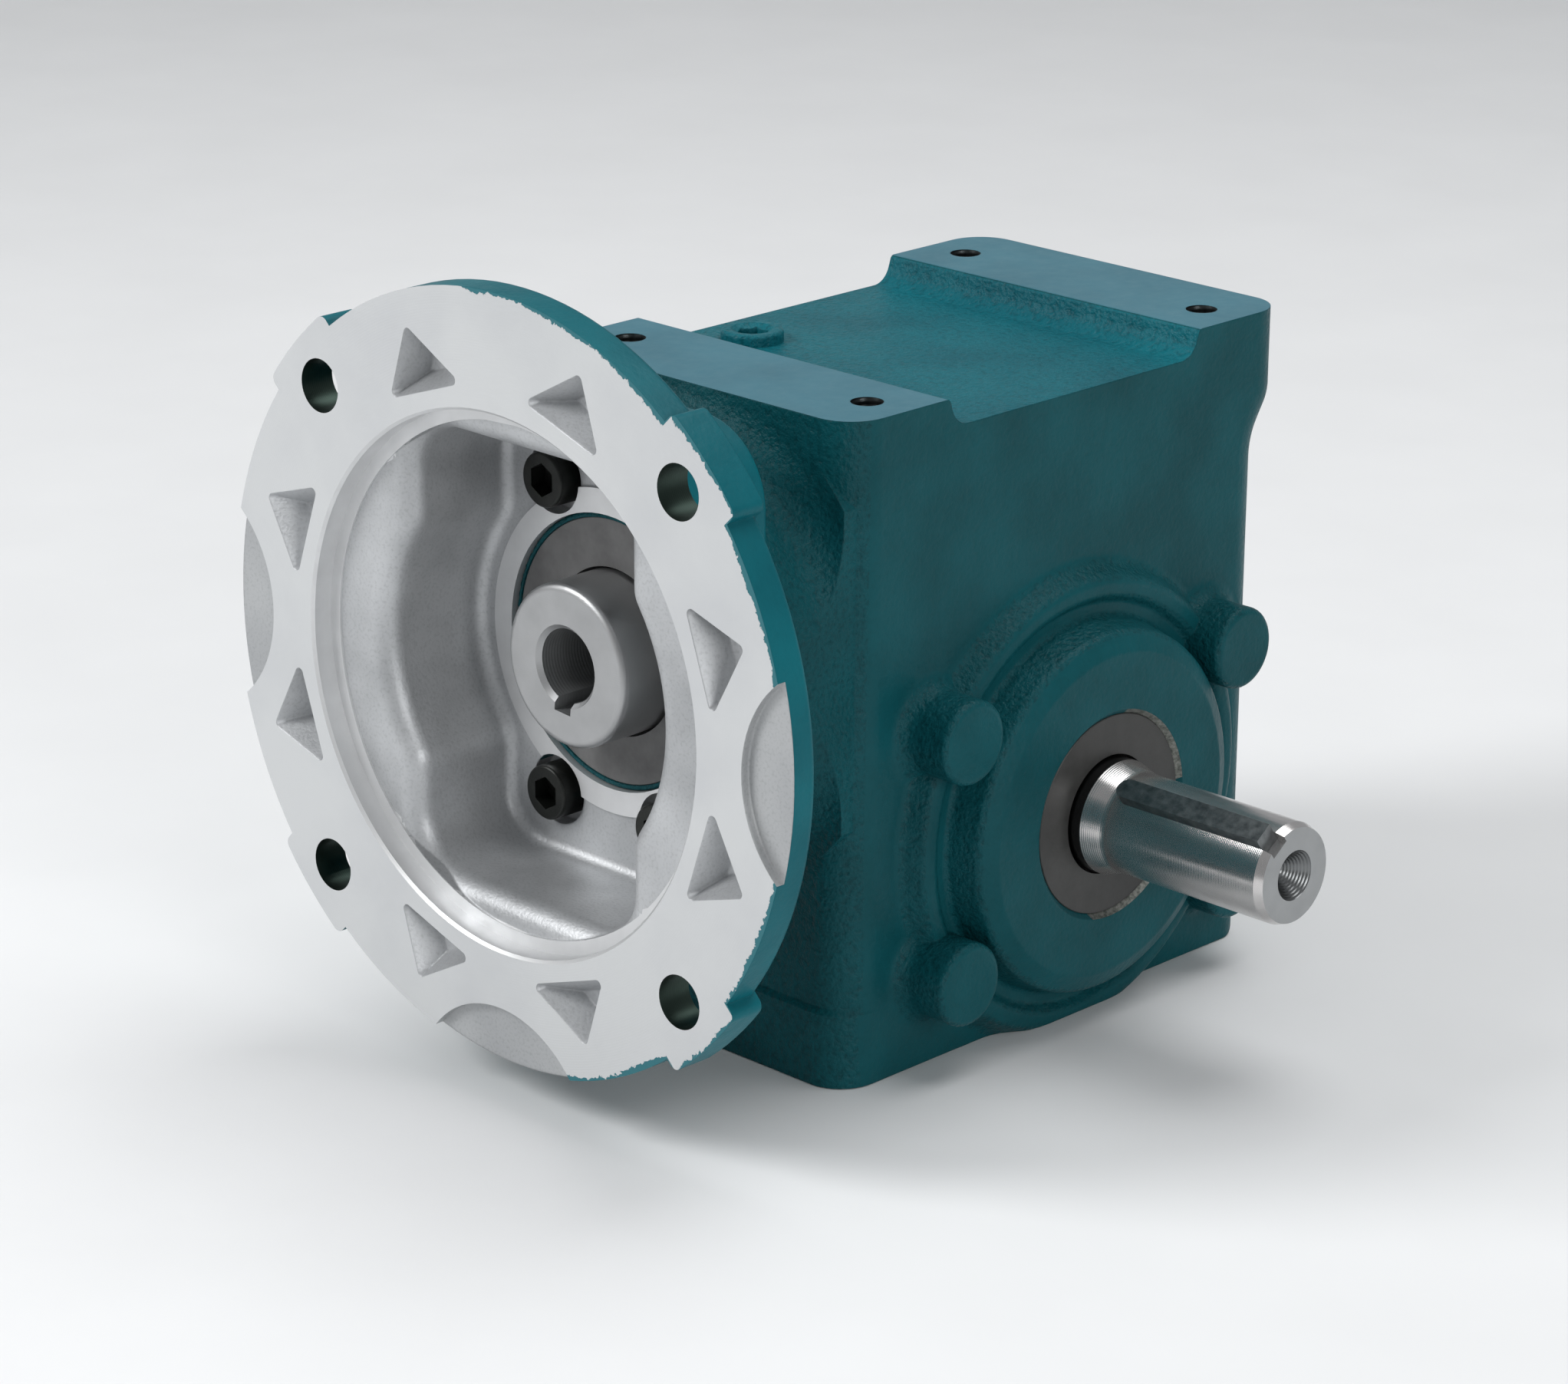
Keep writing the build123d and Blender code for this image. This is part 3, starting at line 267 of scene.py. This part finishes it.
# Turned, drilled and ground metals. The tool's feed is drawn as wide as it needs to show. The rings
# run across one axis, 0, 1 or 2 for X, Y or Z, and a metallic share below 1 stands for a dull film.
turned = {
    # bright register of the flange, and the inside of its bolt holes, darkened as painted shade
    "turnedAluminiumRegister": {"colour": "dfe0e1", "rough": 0.42, "feedMm": 0.4, "axis": 1,
                                "metallic": 0.65},
    "drilledAluminiumPaintedShade": {"colour": "3f4d47", "rough": 0.4, "feedMm": 0.5, "axis": 1},
    # the output shaft mirrors softly where it was ground, has painted shadow of the seal's lip on its journal
    # and is dull at its end
    "groundShaftSteel": {"colour": "dbd8d7", "rough": 0.21, "feedMm": 0.45, "axis": 0, "metallic": 0.92},
    "journalSteelPaintedShadow": {"colour": "4a4b4c", "rough": 0.3, "feedMm": 0.45, "axis": 0},
    "facedShaftEnd": {"colour": "afb1b2", "rough": 0.42, "feedMm": 0.4, "axis": 2, "ringBump": 0.05},
    "drilledShaftCentre": {"colour": "7d7f80", "rough": 0.3, "feedMm": 0.55, "axis": 0, "ringBump": 0.5},
    # the quill is turned only, so its streaks are broader, and its bore, darkened as painted shade, shows the
    # boring tool's feed
    "turnedQuillSteel": {"colour": "b3b4b5", "rough": 0.34, "feedMm": 0.5, "axis": 1, "metallic": 0.9},
    "facedQuillEnd": {"colour": "b4b5b6", "rough": 0.45, "feedMm": 0.5, "axis": 2, "ringBump": 0.05},
    "boredQuillSteelPaintedShade": {"colour": "97999a", "rough": 0.36, "feedMm": 0.8, "axis": 1, "ringBump": 0.3,
                        "metallic": 0.6},
    # inside: bearings nearly mirror, and the bronze is warm and bright
    "groundBearingSteel": {"colour": "c4c6c8", "rough": 0.16, "feedMm": 0.3, "axis": 0},
    "hobbedTinBronze": {"colour": "c08f4e", "rough": 0.28, "feedMm": 0.5, "axis": 0},
}

# Surfaces that are uneven in tone and sheen: a light and a dark colour and the size of the spots.
mottled = {
    # screws and keys: a deep satin black, and the plain grey of drawn bar
    "blackOxideSteel": {"light": "262826", "dark": "1b1d1b", "spotMm": 3.0, "rough": 0.38, "metallic": 0.6},
    "coldDrawnKeySteel": {"light": "8b8f90", "dark": "6d7173", "spotMm": 2.0, "rough": 0.34, "metallic": 1.0},
    # rubber: dark with a wet sheen where oil reaches it, pale and matt where dust lies on it
    "oiledNitrileRubber": {"light": "3b3b3a", "dark": "2e2e2d", "spotMm": 5.0, "rough": 0.46},
    "dustyNitrileRubber": {"light": "6b6b6b", "dark": "5a5a5a", "spotMm": 5.0, "rough": 0.55},
    "rubberSkinnedCap": {"light": "26292b", "dark": "1b1d1e", "spotMm": 6.0, "rough": 0.45},
    # bare iron: darkened as painted shade inside the tapped holes, and scraped bright in patches at the edge
    # of the seal's bore
    "tappedIronThreadPaintedShade": {"light": "44494a", "dark": "2a2e2f", "spotMm": 2.0, "rough": 0.35, "metallic": 0.8},
    "scrapedBoreEdge": {"light": "9a9c96", "dark": "4f5450", "spotMm": 0.9, "rough": 0.35, "metallic": 0.9,
                        "bumpStrength": 0.9},
    # inside the case
    "pressedCageSteel": {"light": "a09f98", "dark": "86857f", "spotMm": 4.0, "rough": 0.35, "metallic": 1.0},
    "turnedGreyIron": {"light": "6a6d70", "dark": "55585b", "spotMm": 3.0, "rough": 0.45, "metallic": 0.8},
    "phosphatedSpringSteel": {"light": "3a3c3f", "dark": "2c2e30", "spotMm": 2.0, "rough": 0.5,
                              "metallic": 0.7},
    "compressedFibreSheet": {"light": "4c5a4b", "dark": "3a463a", "spotMm": 1.6, "rough": 0.8},
}


# What all of them share: soft clouds of tone and sheen, and how deep the rings and the grit are.
finish = {
    "cloudMm": 6.0,
    "cloudShade": 0.82,            # how dark a turned surface's clouds are
    "turnedSheen": (-0.07, 0.09),  # change of roughness across the clouds
    "ringDeepMm": 0.04,
    "mottledSheen": (-0.1, 0.12),
    "gritPerSpot": 6,              # grit is this much finer than the spots
    "gritDeepMm": 0.1,
}


def turnedMetal(name, colour, rough, feedMm, axis, ringBump=0.1, metallic=1.0):
    # fine rings across the axis, and a little uneven sheen
    material, tree, shader, at = newMaterial(name, {"Metallic": metallic})
    light = fromHex(colour)
    dark = tuple(finish["cloudShade"] * part for part in light[:3]) + (1,)
    cloud = addNode(tree, "TexNoise", {"Scale": 1 / finish["cloudMm"], "Detail": 6.0}, {"Vector": at})
    tone = addNode(tree, "Mix", {"data_type": "RGBA", 6: light, 7: dark}, {0: cloud.outputs[0]})
    tree.links.new(tone.outputs[2], shader.inputs["Base Color"])
    less, more = finish["turnedSheen"]
    sheen = addNode(tree, "MapRange", {"To Min": rough + less, "To Max": rough + more},
                    {"Value": cloud.outputs[0]})
    tree.links.new(sheen.outputs[0], shader.inputs["Roughness"])
    split = addNode(tree, "SeparateXYZ", links={0: at})
    perMm = 2 * math.pi / feedMm
    turns = addNode(tree, "Math", {"operation": "MULTIPLY", 1: perMm}, {0: split.outputs[axis]})
    wave = addNode(tree, "Math", {"operation": "SINE"}, {0: turns.outputs[0]})
    bump = addNode(tree, "Bump", {"Strength": ringBump, "Distance": finish["ringDeepMm"] * mm},
                   {"Height": wave.outputs[0]})
    tree.links.new(bump.outputs[0], shader.inputs["Normal"])
    return material


def mottledSurface(name, light, dark, spotMm, rough, metallic=0.0, bumpStrength=0.25):
    # clouds of the two colours, rougher where it is lighter, with fine grit
    material, tree, shader, at = newMaterial(name, {"Metallic": metallic})
    cloud = addNode(tree, "TexNoise", {"Scale": 1 / spotMm, "Detail": 5.0, "Roughness": 0.6}, {"Vector": at})
    grit = addNode(tree, "TexNoise", {"Scale": finish["gritPerSpot"] / spotMm, "Detail": 2.0}, {"Vector": at})
    tone = addNode(tree, "ValToRGB", links={"Fac": cloud.outputs[0]}, stops=[(0.32, dark), (0.66, light)])
    tree.links.new(tone.outputs[0], shader.inputs["Base Color"])
    less, more = finish["mottledSheen"]
    sheen = addNode(tree, "MapRange", {"To Min": rough + less, "To Max": rough + more},
                    {"Value": cloud.outputs[0]})
    tree.links.new(sheen.outputs[0], shader.inputs["Roughness"])
    bump = addNode(tree, "Bump", {"Strength": bumpStrength, "Distance": finish["gritDeepMm"] * mm},
                   {"Height": grit.outputs[0]})
    tree.links.new(bump.outputs[0], shader.inputs["Normal"])
    return material


surfaces = {name: turnedMetal(name, **looks) for name, looks in turned.items()}
surfaces.update({name: mottledSurface(name, **looks) for name, looks in mottled.items()})
print("metals, rubber and fibre:", len(surfaces), "surfaces")


def dress(name, materials, choose=None):
    # gives a CAD node its materials; choose picks one for each facet from its middle and normal, in mm
    thing = nodes[name]
    thing.data.materials.clear()
    for material in materials:
        thing.data.materials.append(material)
    for facet in thing.data.polygons:
        facet.material_index = choose(facet.center * toMm, facet.normal) if choose else 0


# Where the surface of the flange changes, in mm. The radii are from the worm axis.
flangeZones = {
    "boltR": 74.6125,            # four holes on a 5.875 in circle, at 45 degrees
    "boltHoleR": 5.9,
    "faceY": -123.7,             # the turned face
    "scoopFromAxis": 96.6,       # the middles of the three scooped edges, left, right and below
    "scoopR": 26.75,
    "scoopInnerR": 69.0,
    "scoopY": -121.6,
    "registerR": 58.5,           # the bright register, with the step behind it
    "registerY": -118.7,
    "stepR": 54.0,
    "stepY": -118.2,
    "seatR": 35.2,               # the turned seat of the neck, at the back of the bell
    "seatY": -92.6,
    "rimR": 80.0,                # painted from here out and behind the flange
    "backY": -117.8,
    "bellY": -91.0,              # the inside of the bell stays bare
}


def chooseFlange(c, n):
    # 0 turned face, 1 paint in the brighter rim film (painted light), 2 die-cast skin, 3 recessed flats, 4
    # bright register, 5 drilled holes in painted shade
    zones = flangeZones
    x, z = c.x, c.z - wormZ
    radius = math.hypot(x, z)
    outward = (n.x * x + n.z * z) / max(radius, 1)
    along = zones["boltR"] / math.sqrt(2)
    if math.hypot(abs(x) - along, abs(z) - along) < zones["boltHoleR"] and abs(n.y) < 0.5:
        return 5
    if c.y < zones["faceY"] and n.y < -facing:
        return 0
    fromScoop = min(math.hypot(abs(x) - zones["scoopFromAxis"], z), math.hypot(x, z + zones["scoopFromAxis"]))
    inScoop = fromScoop < zones["scoopR"] and radius > zones["scoopInnerR"] and c.y < zones["scoopY"]
    if inScoop and (n.y < -facing or outward > -0.99):
        return 3
    onStep = c.y < zones["stepY"] and radius > zones["stepR"]
    if radius < zones["registerR"] and (c.y < zones["registerY"] or onStep) and outward < 0.3:
        return 4
    if c.y > zones["seatY"] and radius < zones["seatR"]:
        return 4
    outside = radius > zones["rimR"] or c.y > zones["backY"] and n.y > -0.2
    if outward > 0.02 and outside or n.y > 0.3:
        inBell = c.y < zones["bellY"] and radius < zones["stepR"] and n.y < 0.05 and outward < 0.02
        return 2 if inBell else 1
    return 2


# The eight tapped holes of the case, in mm: 5/16-18 in the top pads and 3/8-16 in the base.
tapped = {
    "x": 34.925,                 # how far each hole is from the middle of the case
    "y": 52.8,
    "wallR": 4.1,                # facets nearer to its axis belong to the hole
    "top": {"mouthZ": 145.5, "floorZ": 129.0, "inwards": -1,
            "pitch": 25.4 / 18, "crestR": 3.28, "rootR": 3.44},
    "base": {"mouthZ": 0.0, "floorZ": 16.5, "inwards": 1,
             "pitch": 25.4 / 16, "crestR": 3.71, "rootR": 3.89},
    "threadDeep": 11.0,
    "threadStart": 0.35,         # the ridge starts this far inside the mouth
    "threadClear": 0.05,         # and comes no nearer to it than this
    "footShare": 0.46,           # half of the ridge's foot and of its crest, as shares of the pitch
    "crestShare": 0.06,
    "stepsPerTurn": 40,
}

# Where the surface of the case changes, in mm.
caseZones = {
    "padZ": 145.4,               # the top pads were machined
    "boreR": (22.2, 23.6),       # the edge of the output seal's bore
    "boreX": 50.0,
    "bareArcs": ((10, 85), (135, 195)),    # degrees of it that were scraped bare, from the top towards +Y
    "sideX": 45.0,               # the broad side that the shaft comes out of
    "channelZ": 134.0,           # the channel between the top pads
    "channelHalfY": 39.6,
}


def chooseCase(c, n):
    # 0 rough casting, 1 smoother casting, 2 machined pads with painted reflection, 3 bare bore edge, 4 tapped
    # holes in painted shade, 5 channel in painted top light
    zones = caseZones
    fromHole = math.hypot(abs(c.x) - tapped["x"], abs(c.y) - tapped["y"])
    withinDepth = c.z > tapped["top"]["floorZ"] or c.z < tapped["base"]["floorZ"]
    if fromHole < tapped["wallR"] and withinDepth and abs(n.z) < facing:
        return 4
    if c.z > zones["padZ"] and n.z > facing:
        return 2
    inner, outer = zones["boreR"]
    if c.x > zones["boreX"] and inner < math.hypot(c.y, c.z - shaftZ) < outer:
        around = math.degrees(math.atan2(c.y, c.z - shaftZ)) % 360
        return 3 if any(start < around < end for start, end in zones["bareArcs"]) else 1
    if c.x > zones["sideX"] and n.x > facing:
        return 1
    if zones["channelZ"] < c.z < zones["padZ"] and abs(c.y) < zones["channelHalfY"] and n.z > 0.3:
        return 5
    return 0


shaftZones = {"centreX": (101.0, 108.3), "centreR": 5.6, "endX": 102.0, "journalX": 60.3}     # in mm


def chooseShaft(c, n):
    # 0 ground shaft, 1 journal in painted shadow from the seal's lip, 2 faced end, 3 drilled centre
    deep, mouth = shaftZones["centreX"]
    if deep < c.x < mouth and math.hypot(c.y, c.z - shaftZ) < shaftZones["centreR"]:
        return 3
    if n.x > 0.4 and c.x > shaftZones["endX"]:
        return 2
    return 1 if c.x < shaftZones["journalX"] else 0


quillZones = {"endY": -104.0, "boreEndY": -60.0, "boreR": 11.0}    # in mm


def chooseQuill(c, n):
    # 0 turned outside, 1 faced end, 2 bore with its keyway, darkened as painted shade
    if n.y < -0.7 and c.y < quillZones["endY"]:
        return 1
    inBore = c.y < quillZones["boreEndY"] and math.hypot(c.x, c.z - wormZ) < quillZones["boreR"]
    return 2 if inBore else 0


dress("motor_flange", [faceAlloy, enamelRimPaintedLight, skinAlloy, lensAlloy, surfaces["turnedAluminiumRegister"],
                       surfaces["drilledAluminiumPaintedShade"]], chooseFlange)
dress("gear_case", [enamelCast, enamelSmooth, enamelPadPaintedReflection, surfaces["scrapedBoreEdge"],
                    surfaces["tappedIronThreadPaintedShade"], enamelChannelPaintedTopLight], chooseCase)
dress("output_shaft", [surfaces["groundShaftSteel"], surfaces["journalSteelPaintedShadow"], surfaces["facedShaftEnd"],
                       surfaces["drilledShaftCentre"]], chooseShaft)
dress("worm_shaft", [surfaces["turnedQuillSteel"], surfaces["facedQuillEnd"], surfaces["boredQuillSteelPaintedShade"]],
      chooseQuill)
for name, enamel in {
    "output_cover": enamelSmooth,
    "cover_screws": enamelSmooth,
    # the fill plug on top takes the channel's painted top light
    "fill_plug": enamelChannelPaintedTopLight,
    "level_plug": enamelCast,
    "drain_plug": enamelCast,
}.items():
    dress(name, [enamel])
for name, surface in {
    "flange_screws": "blackOxideSteel",
    "input_seal": "dustyNitrileRubber",
    "output_seal": "oiledNitrileRubber",
    "output_key": "coldDrawnKeySteel",
    "worm_wheel_key": "coldDrawnKeySteel",
    "wheel_spacer": "coldDrawnKeySteel",
    "worm_wheel_rim": "hobbedTinBronze",
    "worm_wheel_hub": "turnedGreyIron",
    "rear_snap_ring": "phosphatedSpringSteel",
    "rear_end_cap": "rubberSkinnedCap",
    "flange_gasket": "compressedFibreSheet",
    "cover_gasket": "compressedFibreSheet",
}.items():
    dress(name, [surfaces[surface]])
for name in nodes:
    if "bearing" in name:
        surface = "pressedCageSteel" if name.endswith("cage") else "groundBearingSteel"
        dress(name, [surfaces[surface]])
print("CAD nodes dressed")


def newPiece(name, points, faces, material, body):
    # a smooth mesh in frame coordinates, given in millimetres
    mesh = bpy.data.meshes.new(name)
    mesh.from_pydata([Vector(p) * mm for p in points], [], faces)
    mesh.validate()
    mesh.polygons.foreach_set("use_smooth", [True] * len(mesh.polygons))
    piece = bpy.data.objects.new(name, mesh)
    bpy.context.scene.collection.objects.link(piece)
    mesh.materials.append(material)
    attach(piece, body)


def makeThread(name, x, y, hole):
    # a helical ridge on the wall of a hole, from its mouth inwards
    points, faces = [], []
    pitch, steps = hole["pitch"], tapped["stepsPerTurn"]
    foot, top = tapped["footShare"] * pitch, tapped["crestShare"] * pitch
    profile = ((hole["rootR"], -foot), (hole["crestR"], -top), (hole["crestR"], top), (hole["rootR"], foot))
    count = int(tapped["threadDeep"] / pitch * steps)
    for i in range(count + 1):
        angle = 2 * math.pi * i / steps
        along = tapped["threadStart"] + pitch * i / steps
        for radius, shift in profile:
            z = hole["mouthZ"] + hole["inwards"] * max(tapped["threadClear"], along + shift)
            points.append((x + radius * math.cos(angle), y + radius * math.sin(angle), z))
    row = len(profile)
    for i in range(count):
        for k in range(row - 1):
            a = row * i + k
            faces.append((a, a + 1, a + row + 1, a + row))
    # the threads take the painted shade of the tapped holes
    newPiece(name, points, faces, surfaces["tappedIronThreadPaintedShade"], "case")


for side, x in (("left", -tapped["x"]), ("right", tapped["x"])):
    for end, y in (("front", -tapped["y"]), ("rear", tapped["y"])):
        makeThread(f"top_thread_{side}_{end}", x, y, tapped["top"])
        makeThread(f"base_thread_{side}_{end}", x, y, tapped["base"])
print("threads cut in the eight tapped holes")


# Camera: where the photograph was taken from, worked out from the standard sizes of the motor face.
camera = {
    "place": (0.68233, -0.73503, 0.41165),
    "right": (0.711917, 0.702247, 0.004870),
    "down": (0.235053, -0.231743, -0.943952),
    "forward": (-0.661759, 0.673160, -0.330046),
    "lensMm": 110.18,
    "sensorMm": 36.0,
    "clip": (0.05, 20),
}
eye = bpy.data.cameras.new("photoCamera")
eye.lens = camera["lensMm"]
eye.sensor_width = camera["sensorMm"]
eye.sensor_fit = "HORIZONTAL"
eye.clip_start, eye.clip_end = camera["clip"]
eyeThing = bpy.data.objects.new("photoCamera", eye)
bpy.context.scene.collection.objects.link(eyeThing)
turn = Matrix((Vector(camera["right"]), -Vector(camera["down"]), -Vector(camera["forward"])))
eyeThing.matrix_world = Matrix.Translation(Vector(camera["place"])) @ turn.transposed().to_4x4()
bpy.context.scene.camera = eyeThing
print("camera placed")


# Studio: a plain pale sweep that bends up behind the part into a wall, with a key light from the upper
# left front, a fill and a top light. Metres and watts.
studio = {
    "floorColours": ("e9eaeb", "e6e7e8"),
    "floorRoughness": 0.7,
    "dustMm": 60.0,
    "front": -1.2,          # where the floor begins, along the camera's heading
    "flat": 3.2,            # the length of its flat part
    "bendR": 0.9,
    "wall": 2.4,
    "halfWidth": 4.0,
    "gap": 0.0002,          # it lies this far under the base
    "steps": 8,             # of each of its three parts
    "air": "f2f4f6",
    "airStrength": 0.32,
    "aim": (0, -0.02, 0.08),
    "lamps": {
        "key": {"place": (-0.75, -1.25, 1.1), "size": 0.7, "power": 18.5},
        "fill": {"place": (1.5, -0.5, 0.55), "size": 0.8, "power": 8.0},
        "top": {"place": (0.1, 0.35, 1.5), "size": 1.2, "power": 12.5},
    },
}


def sweepPoint(step):
    # how far along and how high the sweep is after so many steps
    onFlat, inBend, onWall = [min(max(step / studio["steps"] - part, 0), 1) for part in range(3)]
    bend = inBend * math.pi / 2
    along = studio["front"] + studio["flat"] * onFlat + studio["bendR"] * math.sin(bend)
    return along, studio["bendR"] * (1 - math.cos(bend)) + studio["wall"] * onWall


def makeFloor():
    away = Vector(camera["forward"][:2]).normalized()
    across = Vector((-away.y, away.x)) * studio["halfWidth"]
    points, faces = [], []
    stepCount = 3 * studio["steps"]
    for step in range(stepCount + 1):
        along, up = sweepPoint(step)
        for spot in (away * along - across, away * along + across):
            points.append((spot.x, spot.y, up - studio["gap"]))
    for i in range(stepCount):
        faces.append((2 * i, 2 * i + 1, 2 * i + 3, 2 * i + 2))
    mesh = bpy.data.meshes.new("studioSweep")
    mesh.from_pydata(points, [], faces)
    mesh.polygons.foreach_set("use_smooth", [True] * len(mesh.polygons))
    floor = bpy.data.objects.new("studioSweep", mesh)
    bpy.context.scene.collection.objects.link(floor)
    material, tree, shader, at = newMaterial("paintedStudioFloor", {"Roughness": studio["floorRoughness"]})
    light, dark = studio["floorColours"]
    dust = addNode(tree, "TexNoise", {"Scale": 1 / studio["dustMm"], "Detail": 3.0}, {"Vector": at})
    tone = addNode(tree, "ValToRGB", links={"Fac": dust.outputs[0]}, stops=[(0.3, dark), (0.7, light)])
    tree.links.new(tone.outputs[0], shader.inputs["Base Color"])
    mesh.materials.append(material)


def lightStudio():
    world = bpy.data.worlds.new("studioAir")
    world.use_nodes = True
    tree = world.node_tree
    tree.nodes.clear()
    air = addNode(tree, "Background", {"Color": fromHex(studio["air"]), "Strength": studio["airStrength"]})
    addNode(tree, "OutputWorld", links={"Surface": air.outputs[0]})
    bpy.context.scene.world = world
    for name, values in studio["lamps"].items():
        lamp = bpy.data.lights.new(name + "Light", "AREA")
        lamp.shape = "DISK"
        lamp.size = values["size"]
        lamp.energy = values["power"]
        lampThing = bpy.data.objects.new(name + "Light", lamp)
        bpy.context.scene.collection.objects.link(lampThing)
        lampThing.location = values["place"]
        aim = Vector(studio["aim"]) - lampThing.location
        lampThing.rotation_euler = aim.to_track_quat("-Z", "Y").to_euler()


makeFloor()
lightStudio()
bpy.context.scene.view_settings.view_transform = "Standard"
print("floor and lights placed")
